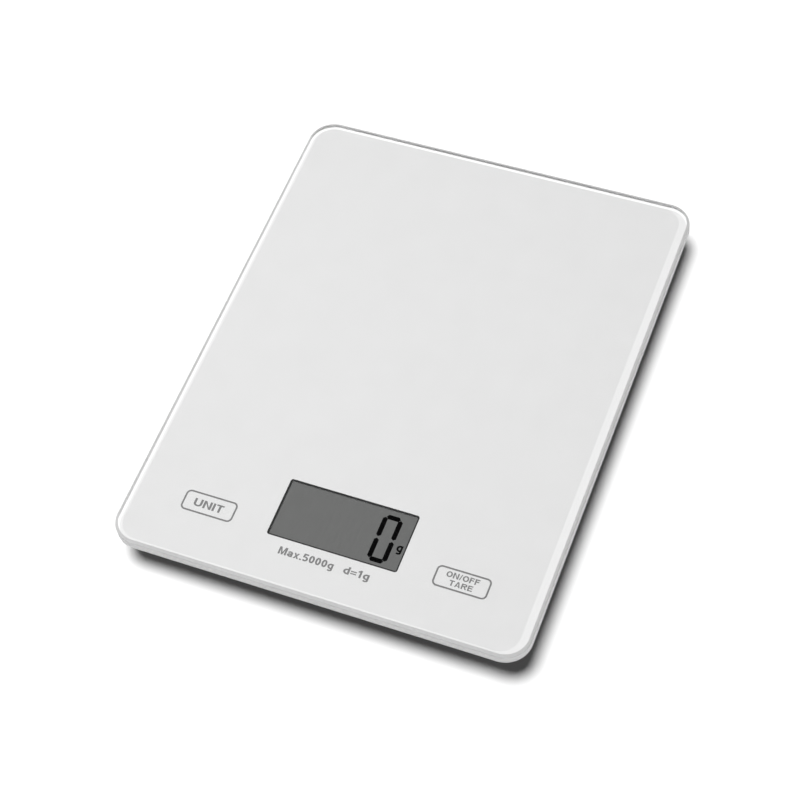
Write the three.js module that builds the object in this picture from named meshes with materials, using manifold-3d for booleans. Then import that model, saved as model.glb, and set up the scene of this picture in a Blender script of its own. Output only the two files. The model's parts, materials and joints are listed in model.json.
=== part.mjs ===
// A slim glass-top kitchen scale, 5 kg by 1 g, as an assembly of separate pieces.
//
// A 4 mm glass platform is stuck to a plastic tray. The tray carries the display, its circuit board
// and the two touch springs, and is screwed to the free end of a bending-beam load cell. The fixed end
// of the cell is screwed to the base, which stands on four rubber feet and holds a coin cell behind a
// hinged door. All sizes are millimetres. X runs across, Y from the display end to the back, Z up, and
// the origin is on the table under the middle of the glass.
import * as THREE from "three";
import { mergeVertices } from "three/addons/utils/BufferGeometryUtils.js";
import Module from "manifold-3d";

const wasm = await Module();
wasm.setup();

// ---------------------------------------------------------------- driving dimensions

const GLASS = { width: 145, length: 185, thick: 4, corner: 9, edge: 1 };
const OVERHANG = 8; // how far the glass stands out past the tray, all round
const TRAY = { plate: 1.5, wall: 1.4, corner: 8, skirtBottom: 4.6, rib: 1.8 };
const BASE = { inset: 2.5, wall: 1.6, floor: 1.8, corner: 6, edge: 1, rib: 3 };
const FOOT = { radius: 7, drop: 1.6, recess: 0.5, x: 50, y: 70 };
const PRINT = 0.1; // thickness of the printed film behind the glass
const SHEET = 0.25; // thickness of the adhesive sheet that holds the glass to the tray
const TRAVEL = 0.4; // how far the platform can be pressed before it meets the stops
const CELL = { width: 12, length: 60, height: 5, screwNear: 19.5, screwFar: 26.5 };
const SPACER = 0.8; // packing plate at each end of the load cell
const BOARD = { width: 114, length: 30, thick: 1, y: -63, drop: 2.8 };
const WINDOW = { width: 46.2, length: 21.9, x: -0.3, y: -63.2 };
const KEY = { unitX: -45.4, tareX: 44.1, y: -70.6 };
const DOOR = { width: 33, length: 32, thick: 1.4, front: 42.5, gap: 0.25 };
const COIN = { radius: 10, thick: 3.2, y: 56 };
const GAP = 0.05; // left between faces that rest on each other
const SLIP = 0.2; // left round a shank in a plain hole

// ---------------------------------------------------------------- levels, worked out upwards

const Z_BASE = FOOT.drop;
const Z_FLOOR = Z_BASE + BASE.floor;
const Z_CELL = Z_FLOOR + SPACER;
const Z_CELL_TOP = Z_CELL + CELL.height;
const Z_TRAY = Z_CELL_TOP + SPACER;
const Z_TRAY_TOP = Z_TRAY + TRAY.plate;
const Z_PRINT = Z_TRAY_TOP + SHEET + 2 * GAP;
const Z_GLASS = Z_PRINT + PRINT + GAP;
const Z_GLASS_TOP = Z_GLASS + GLASS.thick;
const Z_BASE_TOP = Z_TRAY - 2.5 * TRAVEL;
const Z_BOARD = Z_TRAY - BOARD.drop;
const Z_BOARD_UNDER = Z_BOARD - BOARD.thick;

const TRAY_SIZE = { x: GLASS.width - 2 * OVERHANG, y: GLASS.length - 2 * OVERHANG };
const BASE_SIZE = { x: TRAY_SIZE.x - 2 * BASE.inset, y: TRAY_SIZE.y - 2 * BASE.inset };
const BASE_INNER = { x: BASE_SIZE.x - 2 * BASE.wall, y: BASE_SIZE.y - 2 * BASE.wall };
const FREE_END = [-CELL.screwFar, -CELL.screwNear];
const FIXED_END = [CELL.screwNear, CELL.screwFar];

// ---------------------------------------------------------------- finishes

const finish = (color, roughness, metalness = 0, more = {}) =>
  new THREE.MeshStandardMaterial({ color, roughness, metalness, ...more });

const FINISH = {
  glass: finish(0xe6e7e6, 0.04, 0, { transparent: true, opacity: 0.6 }),
  print: finish(0xf0f0ee, 0.6),
  adhesive: finish(0xf0efe9, 0.9),
  whitePlastic: finish(0xe4e4e1, 0.5),
  rubber: finish(0x3c3d3f, 0.85),
  steel: finish(0xb9bcbf, 0.35, 1),
  aluminium: finish(0xc9cbce, 0.45, 1),
  board: finish(0x1f6b3a, 0.45),
  chip: finish(0x17181a, 0.5),
  displayGlass: finish(0x8f968f, 0.1),
  polariser: finish(0x73757a, 0.3),
  silicone: finish(0xd8d8d2, 0.7),
  gauge: finish(0xc98a3a, 0.5),
  redWire: finish(0xb52a22, 0.5),
  blackWire: finish(0x202022, 0.5),
  greyCable: finish(0xb9b9b6, 0.5),
};

// ---------------------------------------------------------------- shapes

// A rectangle with round corners, centred on (x, y).
function roundedRect(width, length, radius, x = 0, y = 0) {
  const [a, b] = [width / 2 - radius, length / 2 - radius];
  const shape = new THREE.Shape();
  shape.absarc(x + a, y + b, radius, 0, Math.PI / 2);
  shape.absarc(x - a, y + b, radius, Math.PI / 2, Math.PI);
  shape.absarc(x - a, y - b, radius, Math.PI, 1.5 * Math.PI);
  shape.absarc(x + a, y - b, radius, 1.5 * Math.PI, 2 * Math.PI);
  shape.closePath();
  return shape;
}

// A closed outline through a list of [x, y] points.
const outline = (points) => new THREE.Shape(points.map(([x, y]) => new THREE.Vector2(x, y)));

// A bent strip of sheet metal seen from its edge: its middle line, thickened to both sides.
function stripOutline(line, thick) {
  const points = line.map(([x, y]) => new THREE.Vector2(x, y));
  const side = (sign) =>
    points.map((p, i) => {
      const before = points[Math.max(i - 1, 0)];
      const after = points[Math.min(i + 1, points.length - 1)];
      const along = p.clone().sub(before).normalize();
      along.add(after.clone().sub(p).normalize()).normalize();
      const normal = new THREE.Vector2(-along.y, along.x);
      return p.clone().addScaledVector(normal, (sign * thick) / 2);
    });
  return new THREE.Shape([...side(1), ...side(-1).reverse()]);
}

// ---------------------------------------------------------------- solids

// A flat shape in X and Y, filled from z0 to z1, with its top and bottom edges rounded by edge.
function slab(shape, z0, z1, edge = 0, arcs = 3) {
  const geometry = new THREE.ExtrudeGeometry(shape, {
    depth: z1 - z0 - 2 * edge,
    curveSegments: arcs,
    bevelEnabled: edge > 0,
    bevelThickness: edge,
    bevelSize: edge,
    bevelOffset: -edge,
    bevelSegments: 2,
  });
  return geometry.translate(0, 0, z0 + edge);
}

// A box between two corners.
function box([x0, y0, z0], [x1, y1, z1]) {
  const geometry = new THREE.BoxGeometry(x1 - x0, y1 - y0, z1 - z0);
  return geometry.translate((x0 + x1) / 2, (y0 + y1) / 2, (z0 + z1) / 2);
}

// An upright cylinder.
function post(radius, z0, z1, x = 0, y = 0, sides = 20) {
  const geometry = new THREE.CylinderGeometry(radius, radius, z1 - z0, sides);
  return geometry.rotateX(Math.PI / 2).translate(x, y, (z0 + z1) / 2);
}

// A solid of revolution round an upright axis, from a profile of [radius, z] points, lowest first.
function turned(profile, x = 0, y = 0, sides = 24) {
  const points = profile.map(([r, z]) => new THREE.Vector2(r, z));
  return new THREE.LatheGeometry(points, sides).rotateX(Math.PI / 2).translate(x, y, 0);
}

// A shape drawn in Y and Z, filled from x0 to x1.
function acrossX(shape, x0, x1, arcs = 6) {
  const geometry = new THREE.ExtrudeGeometry(shape, {
    depth: x1 - x0,
    curveSegments: arcs,
    bevelEnabled: false,
  });
  const toFrame = new THREE.Matrix4().makeBasis(
    new THREE.Vector3(0, 1, 0),
    new THREE.Vector3(0, 0, 1),
    new THREE.Vector3(1, 0, 0),
  );
  return geometry.applyMatrix4(toFrame).translate(x0, 0, 0);
}

// A shape drawn in X and Z, filled from y0 to y1.
function acrossY(shape, y0, y1) {
  const geometry = new THREE.ExtrudeGeometry(shape, { depth: y1 - y0, bevelEnabled: false });
  return geometry.rotateX(Math.PI / 2).translate(0, y1, 0);
}

// A round section carried along a curve.
function along(curve, section, steps) {
  return new THREE.ExtrudeGeometry(section, { extrudePath: curve, steps, curveSegments: 2 });
}

// A circle with a given number of flat sides.
function ngon(radius, sides, x = 0, y = 0) {
  const turn = (2 * Math.PI) / sides;
  return outline(
    Array.from({ length: sides }, (_, i) => [
      x + radius * Math.cos(i * turn),
      y + radius * Math.sin(i * turn),
    ]),
  );
}

// ---------------------------------------------------------------- joining and cutting

function toSolid(geometry) {
  const bare = new THREE.BufferGeometry();
  const open = geometry.index ? geometry.toNonIndexed() : geometry;
  bare.setAttribute("position", open.getAttribute("position"));
  const merged = mergeVertices(bare, 1e-4);
  return new wasm.Manifold(
    new wasm.Mesh({
      numProp: 3,
      vertProperties: merged.attributes.position.array,
      triVerts: new Uint32Array(merged.index.array),
    }),
  );
}

function toGeometry(solid) {
  const mesh = solid.getMesh();
  const geometry = new THREE.BufferGeometry();
  geometry.setAttribute("position", new THREE.BufferAttribute(mesh.vertProperties, 3));
  geometry.setIndex(new THREE.BufferAttribute(mesh.triVerts, 1));
  const facets = geometry.toNonIndexed();
  facets.computeVertexNormals();
  return facets;
}

// The first geometry with the added ones joined on and then the cut ones taken away.
function shaped(first, added, cut = []) {
  let solid = toSolid(first);
  for (const piece of added) solid = solid.add(toSolid(piece));
  for (const piece of cut) solid = solid.subtract(toSolid(piece));
  return toGeometry(solid);
}

// ---------------------------------------------------------------- the assembly

const scale = new THREE.Group();
const platform = new THREE.Group();
const base = new THREE.Group();
scale.add(platform, base);

function put(group, name, material, geometry) {
  const mesh = new THREE.Mesh(geometry, material);
  mesh.name = name;
  group.add(mesh);
}

// ---------------------------------------------------------------- fasteners

const M3 = { shank: 1.45, head: 2.8, sink: 1.3 };
const SMALL = { shank: 0.85, head: 2, high: 1.1 };

// The cross recess of a screw head, as two bars down to a depth.
function crossRecess(x, y, z0, z1, reach) {
  const bar = reach / 4;
  return [
    box([x - reach, y - bar, z0], [x + reach, y + bar, z1]),
    box([x - bar, y - reach, z0], [x + bar, y + reach, z1]),
  ];
}

// A countersunk screw whose head lies flush at z and whose shank points along dir, 1 up and -1 down.
function countersunkScrew(x, y, z, dir, length) {
  const flat = z + dir * GAP;
  const tip = z + dir * length;
  const profile = [
    [0, flat],
    [M3.head, flat],
    [M3.head, flat + dir * 0.25],
    [M3.shank, z + dir * M3.sink],
    [M3.shank, tip - dir * 0.4],
    [M3.shank - 0.4, tip],
    [0, tip],
  ];
  const body = turned(dir > 0 ? profile : profile.reverse(), x, y, 16);
  const [low, high] = [flat - dir, flat + dir * 0.9].sort((a, b) => a - b);
  return shaped(body, [], crossRecess(x, y, low, high, 1.5));
}

// The hole that takes such a screw through a plate, opening at z.
function countersink(x, y, z, dir, depth) {
  const profile = [
    [0, z - dir * 0.5],
    [M3.head + SLIP, z - dir * 0.5],
    [M3.head + SLIP, z + dir * 0.3],
    [M3.shank + SLIP, z + dir * (M3.sink + SLIP)],
    [M3.shank + SLIP, z + dir * depth],
    [0, z + dir * depth],
  ];
  return turned(dir > 0 ? profile : profile.reverse(), x, y, 16);
}

// A pan-head screw that holds the circuit board up to a boss.
function boardScrew(x, y) {
  const seat = Z_BOARD_UNDER - GAP;
  const tip = Z_BOARD + 1.9;
  const body = turned(
    [
      [0, seat - SMALL.high],
      [SMALL.head - 0.5, seat - SMALL.high],
      [SMALL.head, seat - SMALL.high + 0.5],
      [SMALL.head, seat],
      [SMALL.shank, seat],
      [SMALL.shank, tip - 0.3],
      [SMALL.shank - 0.3, tip],
      [0, tip],
    ],
    x,
    y,
    16,
  );
  return shaped(body, [], crossRecess(x, y, seat - 2, seat - 0.5, 1.1));
}

const BOARD_SCREWS = {
  board_screw_rear_left: [-53, -51.5],
  board_screw_rear_right: [53, -51.5],
  board_screw_front_left: [-31.5, -74.5],
  board_screw_front_right: [31.5, -74.5],
};

// ---------------------------------------------------------------- platform: glass, sheet and tray

const KEYS = [
  [KEY.unitX, KEY.y],
  [KEY.tareX, KEY.y],
];
const KEY_HOLE = 5.5;
const FRAME = { width: 53, length: 28.4, wall: 1.3 };
const framePlan = (extra) =>
  roundedRect(FRAME.width + extra, FRAME.length + extra, 1 + extra / 2, WINDOW.x, WINDOW.y);

function glassPlatform() {
  const plan = roundedRect(GLASS.width, GLASS.length, GLASS.corner);
  return slab(plan, Z_GLASS, Z_GLASS_TOP, GLASS.edge, 5);
}

// The film is cut short of the round edge of the glass, and its window shows the display.
function printedFilm() {
  const inset = GLASS.edge + 0.1;
  const plan = roundedRect(GLASS.width - 2 * inset, GLASS.length - 2 * inset, GLASS.corner - inset);
  plan.holes = [roundedRect(WINDOW.width, WINDOW.length, 0.8, WINDOW.x, WINDOW.y)];
  return slab(plan, Z_PRINT, Z_PRINT + PRINT);
}

function adhesiveSheet() {
  const plan = roundedRect(TRAY_SIZE.x - 2, TRAY_SIZE.y - 2, TRAY.corner - 1);
  plan.holes = [framePlan(1.5), ...KEYS.map(([x, y]) => ngon(KEY_HOLE, 20, x, y))];
  return slab(plan, Z_TRAY_TOP + GAP, Z_TRAY_TOP + GAP + SHEET);
}

// Ribs under the plate, on both sides of the load cell. Those across are a little lower.
function trayRibs() {
  const [low, high] = [Z_TRAY - TRAY.rib, Z_TRAY + 0.5];
  const ribs = [];
  for (const side of [-1, 1]) {
    for (const x of [18, 50]) {
      ribs.push(box([side * x - 0.6, -38, low], [side * x + 0.6, 34, high]));
    }
    for (const y of [-30, 0, 30]) {
      const [near, far] = [17.6 * side, 58 * side].sort((a, b) => a - b);
      ribs.push(box([near, y - 0.6, low + 0.3], [far, y + 0.6, high]));
    }
  }
  return ribs;
}

function platformTray() {
  const { x, y } = TRAY_SIZE;
  const wall = TRAY.wall;
  const plan = roundedRect(x, y, TRAY.corner);
  const inside = roundedRect(x - 2 * wall, y - 2 * wall, TRAY.corner - wall);
  const lid = shaped(slab(plan, TRAY.skirtBottom, Z_TRAY_TOP, 0.4), [], [
    slab(inside, TRAY.skirtBottom - 1, Z_TRAY),
  ]);
  const screws = Object.values(BOARD_SCREWS);
  const bosses = screws.map(([sx, sy]) => post(2.5, Z_BOARD + GAP, Z_TRAY + 0.5, sx, sy, 16));
  const pilots = screws.map(([sx, sy]) =>
    post(SMALL.shank + GAP, Z_BOARD - 1, Z_TRAY + 0.4, sx, sy, 12),
  );
  return shaped(
    lid,
    [...trayRibs(), ...bosses],
    [
      ...pilots,
      slab(framePlan(1.2), Z_TRAY - 1, Z_TRAY_TOP + 1),
      ...KEYS.map(([kx, ky]) => post(KEY_HOLE, Z_TRAY - 1, Z_TRAY_TOP + 1, kx, ky)),
      ...FREE_END.map((end) => countersink(0, end, Z_TRAY_TOP, -1, 3)),
    ],
  );
}

put(platform, "glass_platform", FINISH.glass, glassPlatform());
put(platform, "printed_film", FINISH.print, printedFilm());
put(platform, "adhesive_sheet", FINISH.adhesive, adhesiveSheet());
put(platform, "platform_tray", FINISH.whitePlastic, platformTray());

// ---------------------------------------------------------------- platform: display

// The display lies against the glass: a wide front pane over a shorter rear one, which leaves a
// contact ledge along the front edge for the rubber connector that comes up from the board.
const PANE = { width: 50, length: 25.4, thick: 1.1, ledge: 3.4 };
const Z_PANE_TOP = Z_TRAY_TOP;
const Z_PANE_UNDER = Z_PANE_TOP - 2 * PANE.thick;
const FILM = 0.2;
const PANE_FRONT = WINDOW.y - PANE.length / 2;
const PANE_BACK = WINDOW.y + PANE.length / 2;

// A rectangle under the window, as wide as width and from front to back in Y.
const displayBox = (width, front, back, z0, z1) =>
  box([WINDOW.x - width / 2, front, z0], [WINDOW.x + width / 2, back, z1]);

function displayPanel() {
  const middle = Z_PANE_UNDER + PANE.thick;
  return shaped(
    displayBox(PANE.width, PANE_FRONT, PANE_BACK, middle, Z_PANE_TOP),
    [displayBox(PANE.width, PANE_FRONT + PANE.ledge, PANE_BACK, Z_PANE_UNDER, middle + 0.1)],
  );
}

function displayFrame() {
  const shelf = Z_PANE_UNDER - FILM - 3 * GAP;
  const [w, l] = [FRAME.width - 2 * FRAME.wall, FRAME.length - 2 * FRAME.wall];
  return shaped(slab(framePlan(0), Z_BOARD + GAP, Z_PANE_TOP), [], [
    displayBox(w, WINDOW.y - l / 2, WINDOW.y + l / 2, shelf, Z_PANE_TOP + 1),
    displayBox(w - 4, PANE_FRONT + PANE.ledge + 1.5, PANE_BACK - 1.5, Z_BOARD - 1, shelf + 1),
    displayBox(w - 4, PANE_FRONT + 0.3, PANE_FRONT + PANE.ledge - 0.3, Z_BOARD - 1, shelf + 1),
  ]);
}

const film = (z) =>
  displayBox(PANE.width - 1, PANE_FRONT + 0.3, PANE_BACK - 0.3, z, z + FILM);
const rearFilm = (z) =>
  displayBox(PANE.width - 1, PANE_FRONT + PANE.ledge + 0.3, PANE_BACK - 0.3, z - FILM, z);

put(platform, "display_panel", FINISH.displayGlass, displayPanel());
put(platform, "display_polariser", FINISH.polariser, film(Z_PANE_TOP + GAP));
put(platform, "display_reflector", FINISH.polariser, rearFilm(Z_PANE_UNDER - GAP));
put(platform, "display_frame", FINISH.whitePlastic, displayFrame());
put(
  platform,
  "display_connector",
  FINISH.silicone,
  displayBox(
    PANE.width - 6,
    PANE_FRONT + 0.7,
    PANE_FRONT + PANE.ledge - 0.7,
    Z_BOARD + GAP,
    Z_PANE_TOP - PANE.thick - GAP,
  ),
);

// ---------------------------------------------------------------- platform: circuit board

function circuitBoard() {
  const plan = roundedRect(BOARD.width, BOARD.length, 1.5, 0, BOARD.y);
  plan.holes = Object.values(BOARD_SCREWS).map(([x, y]) => ngon(SMALL.shank + SLIP, 16, x, y));
  return slab(plan, Z_BOARD_UNDER, Z_BOARD);
}

// A dab of black resin over the bonded controller, on the underside of the board.
function controllerDab(x, y) {
  const top = Z_BOARD_UNDER - GAP;
  const profile = [
    [0, top - 1.1],
    [3, top - 1],
    [4.8, top - 0.6],
    [5.6, top],
    [0, top],
  ];
  return turned(profile, x, y, 20);
}

// A moulded chip on the underside of the board, with a row of gull-wing legs on each long side.
function chip(x, y, width, length, high, legs) {
  const top = Z_BOARD_UNDER - GAP;
  const body = box(
    [x - width / 2, y - length / 2, top - high],
    [x + width / 2, y + length / 2, top - 0.1],
  );
  const pitch = width / legs;
  const feet = [];
  for (let i = 0; i < legs; i += 1) {
    const middle = x - width / 2 + pitch * (i + 0.5);
    const leg = pitch * 0.2;
    feet.push(
      box(
        [middle - leg, y - length / 2 - 0.9, top - 0.25],
        [middle + leg, y + length / 2 + 0.9, top],
      ),
    );
  }
  return shaped(body, feet);
}

// The watch crystal: a small can lying on the underside of the board.
function clockCrystal(x, y) {
  const radius = 0.75;
  const lying = new THREE.CylinderGeometry(radius, radius, 6, 12);
  return lying.translate(x, y, Z_BOARD_UNDER - GAP - radius);
}

// A chip capacitor with its two end caps.
function chipCapacitor(x, y) {
  const top = Z_BOARD_UNDER - GAP;
  return shaped(box([x - 1.3, y - 0.75, top - 1], [x + 1.3, y + 0.75, top]), [
    box([x - 1.65, y - 0.8, top - 1.05], [x - 1.1, y + 0.8, top]),
    box([x + 1.1, y - 0.8, top - 1.05], [x + 1.65, y + 0.8, top]),
  ]);
}

put(platform, "circuit_board", FINISH.board, circuitBoard());
put(platform, "controller_chip", FINISH.chip, controllerDab(-9, -63));
put(platform, "amplifier_chip", FINISH.chip, chip(12, -62, 10, 3.9, 1.1, 8));
put(platform, "touch_chip", FINISH.chip, chip(-36, -60, 3, 1.6, 1, 3));
put(platform, "clock_crystal", FINISH.steel, clockCrystal(24, -62));
put(platform, "filter_capacitor", FINISH.gauge, chipCapacitor(12, -68));
put(platform, "supply_capacitor", FINISH.gauge, chipCapacitor(33, -56));
for (const [name, [x, y]] of Object.entries(BOARD_SCREWS)) {
  put(platform, name, FINISH.steel, boardScrew(x, y));
}

// ---------------------------------------------------------------- platform: touch springs

// A coil from the board up to the film behind the glass, with a flat turn at each end.
class Coil extends THREE.Curve {
  constructor(x, y, low, high, radius, turns) {
    super();
    Object.assign(this, { x, y, low, high, radius, turns });
  }

  getPoint(t, target = new THREE.Vector3()) {
    const turn = 2 * Math.PI * this.turns * t;
    const rise = THREE.MathUtils.smoothstep(t, 0.1, 0.9);
    return target.set(
      this.x + this.radius * Math.cos(turn),
      this.y + this.radius * Math.sin(turn),
      THREE.MathUtils.lerp(this.low, this.high, rise),
    );
  }
}

const SPRING = { wire: 0.3, radius: 3.8, turns: 4.5 };

function touchSpring(x, y) {
  const low = Z_BOARD + SPRING.wire + GAP;
  const high = Z_PRINT - SPRING.wire - GAP;
  const coil = new Coil(x, y, low, high, SPRING.radius, SPRING.turns);
  return along(coil, ngon(SPRING.wire, 6), 56);
}

put(platform, "touch_spring_unit", FINISH.steel, touchSpring(...KEYS[0]));
put(platform, "touch_spring_tare", FINISH.steel, touchSpring(...KEYS[1]));

// ---------------------------------------------------------------- load cell

// The beam is thinned over two holes joined by a slot, so that it bends there like a parallelogram.
function loadCell() {
  const [half, middle] = [CELL.length / 2, Z_CELL + CELL.height / 2];
  const side = outline([
    [-half, Z_CELL + GAP],
    [half, Z_CELL + GAP],
    [half, Z_CELL_TOP - GAP],
    [-half, Z_CELL_TOP - GAP],
  ]);
  const hole = new THREE.Path();
  const [reach, radius, slot] = [7, 1.8, 0.7];
  const meet = Math.asin(slot / radius);
  hole.absarc(reach, middle, radius, Math.PI + meet, 3 * Math.PI - meet);
  hole.absarc(-reach, middle, radius, meet, 2 * Math.PI - meet);
  hole.closePath();
  side.holes = [hole];
  const screws = [...FREE_END, ...FIXED_END].map((y) =>
    post(M3.shank + GAP, Z_CELL - 1, Z_CELL_TOP + 1, 0, y, 16),
  );
  return shaped(acrossX(side, -CELL.width / 2, CELL.width / 2), [], screws);
}

// A packing plate with two screw holes.
function spacer(ends, z0) {
  const middle = (ends[0] + ends[1]) / 2;
  const plan = roundedRect(CELL.width, 15, 1, 0, middle);
  plan.holes = ends.map((y) => ngon(M3.shank + SLIP, 16, 0, y));
  return slab(plan, z0 + GAP, z0 + SPACER - GAP);
}

// A strain gauge: a thin film stuck over the thin part of the beam.
const gauge = (y, z) => box([-2, y - 2.5, z - 0.06], [2, y + 2.5, z + 0.06]);

put(base, "load_cell", FINISH.aluminium, loadCell());
put(base, "load_cell_spacer_base", FINISH.steel, spacer(FIXED_END, Z_FLOOR));
put(platform, "load_cell_spacer_platform", FINISH.steel, spacer(FREE_END, Z_CELL_TOP));
for (const [place, y] of Object.entries({ front: -7, rear: 7 })) {
  put(base, `strain_gauge_upper_${place}`, FINISH.gauge, gauge(y, Z_CELL_TOP + 0.06));
  put(base, `strain_gauge_lower_${place}`, FINISH.gauge, gauge(y, Z_CELL - 0.06));
}
for (const [i, place] of ["front", "rear"].entries()) {
  put(
    platform,
    `platform_screw_${place}`,
    FINISH.steel,
    countersunkScrew(0, FREE_END[i], Z_TRAY_TOP, -1, 6),
  );
  put(base, `base_screw_${place}`, FINISH.steel, countersunkScrew(0, FIXED_END[i], Z_BASE, 1, 6.6));
}

// ---------------------------------------------------------------- base shell

const POCKET = {
  x: 19,
  front: DOOR.front - 3.5,
  back: DOOR.front + DOOR.length + 3,
  wall: 1.4,
  under: 7.9,
  top: 8.9,
};
const NEST = { inner: COIN.radius + 0.3, outer: COIN.radius + 1.5 };
const STOPS = [
  [-54, 73],
  [54, 73],
  [-54, -43],
  [54, -43],
];
const FEET = {
  rubber_foot_front_left: [-FOOT.x, -FOOT.y],
  rubber_foot_front_right: [FOOT.x, -FOOT.y],
  rubber_foot_rear_left: [-FOOT.x, FOOT.y],
  rubber_foot_rear_right: [FOOT.x, FOOT.y],
};

// The walls and roof of the battery pocket, with a ring inside that the coin cell sits in.
function batteryPocket() {
  const { x, front, back, wall, under, top } = POCKET;
  const ring = shaped(post(NEST.outer, Z_FLOOR - 0.3, under + 0.2, 0, COIN.y, 24), [], [
    post(NEST.inner, 0, under + 0.1, 0, COIN.y, 24),
  ]);
  const walls = shaped(box([-x, front, Z_FLOOR - 0.2], [x, back, top]), [], [
    box([-x + wall, front + wall, 0], [x - wall, back - wall, under]),
  ]);
  return shaped(walls, [ring]);
}

// Ribs that stiffen the floor on both sides of the load cell. Those across are a little lower.
function floorRibs() {
  const top = Z_FLOOR + BASE.rib;
  const [wallX, wallY] = [BASE_INNER.x / 2 + 0.3, BASE_INNER.y / 2 + 0.3];
  const ribs = [];
  for (const side of [-1, 1]) {
    for (const x of [26, 43]) {
      ribs.push(box([side * x - 0.6, -38.6, Z_FLOOR - 0.5], [side * x + 0.6, wallY, top]));
    }
    for (const y of [-38, 0, 38]) {
      const [near, far] = [25.4 * side, wallX * side].sort((a, b) => a - b);
      ribs.push(box([near, y - 0.6, Z_FLOOR - 0.5], [far, y + 0.6, top - 0.4]));
    }
  }
  return ribs;
}

function baseShell() {
  const plan = roundedRect(BASE_SIZE.x, BASE_SIZE.y, BASE.corner);
  const inside = roundedRect(BASE_INNER.x, BASE_INNER.y, BASE.corner - BASE.wall);
  const above = Z_BASE_TOP + 2 * BASE.edge;
  const tub = shaped(slab(plan, Z_BASE, above, BASE.edge), [], [
    box([-100, -100, Z_BASE_TOP], [100, 100, above + 1]),
    slab(inside, Z_FLOOR, above + 1),
  ]);
  const stops = STOPS.map(([x, y]) => post(2.2, Z_FLOOR - 0.5, Z_TRAY - TRAVEL - GAP, x, y, 12));
  const footRecesses = Object.values(FEET).map(([x, y]) =>
    post(FOOT.radius + SLIP, Z_BASE - 1, Z_BASE + FOOT.recess, x, y, 24),
  );
  const doorway = box(
    [-DOOR.width / 2, DOOR.front, Z_BASE - 1],
    [DOOR.width / 2, DOOR.front + DOOR.length, Z_FLOOR + 0.05],
  );
  const thumbScoop = post(9, Z_BASE - 1, Z_BASE + 0.9, 0, DOOR.front + DOOR.length - 5, 28);
  const { x: side, wall, under } = POCKET;
  const [near, far] = [COIN.y - 3.2, COIN.y + 3.2];
  const contactSlots = [
    box([-side - 1, near, under - 0.7], [-NEST.inner + 1, far, under + 0.2]),
    box([side - wall - 1, near, under - 0.7], [side + 1, far, under + 0.2]),
    box([NEST.inner - 2, near, 0], [NEST.outer + 1, far, under + 0.2]),
  ];
  return shaped(
    tub,
    [batteryPocket(), ...floorRibs(), ...stops],
    [
      doorway,
      thumbScoop,
      ...contactSlots,
      ...footRecesses,
      ...FIXED_END.map((y) => countersink(0, y, Z_BASE, 1, 3)),
    ],
  );
}

// A stuck-on foot with a round edge and a shallow ring in its underside.
function rubberFoot(x, y) {
  const [r, top] = [FOOT.radius, Z_BASE + FOOT.recess - GAP];
  const profile = [
    [0, 0.3],
    [2.6, 0.3],
    [3, 0],
    [r - 0.8, 0],
    [r - 0.25, 0.2],
    [r, 0.8],
    [r, top],
    [0, top],
  ];
  return turned(profile, x, y, 24);
}

put(base, "base_shell", FINISH.whitePlastic, baseShell());
for (const [name, [x, y]] of Object.entries(FEET)) {
  put(base, name, FINISH.rubber, rubberFoot(x, y));
}

// ---------------------------------------------------------------- coin cell and contacts

const Z_COIN = Z_BASE + DOOR.thick + 0.5; // the flat, positive face, which looks down at the door
const Z_COIN_TOP = Z_COIN + COIN.thick;

// The can is a cup. The sealing ring and the cap sit in it, and its rim is crimped over them.
function coinCan() {
  const r = COIN.radius;
  return turned(
    [
      [0, Z_COIN],
      [r - 0.3, Z_COIN],
      [r, Z_COIN + 0.3],
      [r, Z_COIN_TOP - 0.7],
      [r - 0.3, Z_COIN_TOP - 0.4],
      [r - 0.6, Z_COIN_TOP - 0.4],
      [r - 0.6, Z_COIN + 0.35],
      [0, Z_COIN + 0.35],
    ],
    0,
    COIN.y,
    24,
  );
}

function coinSeal() {
  const [inner, outer] = [COIN.radius - 1, COIN.radius - 0.6 - GAP];
  const [low, high] = [Z_COIN + 0.4, Z_COIN_TOP - 0.3];
  return turned(
    [
      [inner, low],
      [outer, low],
      [outer, high],
      [inner, high],
      [inner, low],
    ],
    0,
    COIN.y,
    24,
  );
}

function coinCap() {
  const r = COIN.radius - 1 - GAP;
  return turned(
    [
      [r - 0.3, Z_COIN + 0.45],
      [r, Z_COIN + 0.45],
      [r, Z_COIN_TOP - 0.5],
      [r - 0.5, Z_COIN_TOP],
      [0, Z_COIN_TOP],
      [0, Z_COIN_TOP - 0.3],
      [r - 0.6, Z_COIN_TOP - 0.3],
      [r - 0.3, Z_COIN_TOP - 0.6],
      [r - 0.3, Z_COIN + 0.45],
    ],
    0,
    COIN.y,
    24,
  );
}

const STRIP = 0.25;

// The negative contact runs in under the roof of the pocket and bows down to the cap.
function negativeContact() {
  const line = [
    [-21.4, 7.6],
    [3.6, 7.6],
    [4.2, 7.45],
    [4.3, 7.2],
    [3.8, 7.05],
    [0.5, Z_COIN_TOP + 0.25],
    [-2.5, 7.1],
  ];
  return acrossY(stripOutline(line, STRIP), COIN.y - 2.5, COIN.y + 2.5);
}

// The positive contact comes in on the other side and springs against the edge of the can.
function positiveContact() {
  const edge = COIN.radius + STRIP / 2 + 0.1;
  const line = [
    [21.4, 7.6],
    [14.4, 7.6],
    [13.9, 7.4],
    [13.7, 6.9],
    [13.7, 4.6],
    [13.3, 4.1],
    [12.6, 4.1],
    [12.1, 4.4],
    [edge, 5.6],
    [edge + 0.4, 6.4],
  ];
  return acrossY(stripOutline(line, STRIP), COIN.y - 2.5, COIN.y + 2.5);
}

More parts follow.
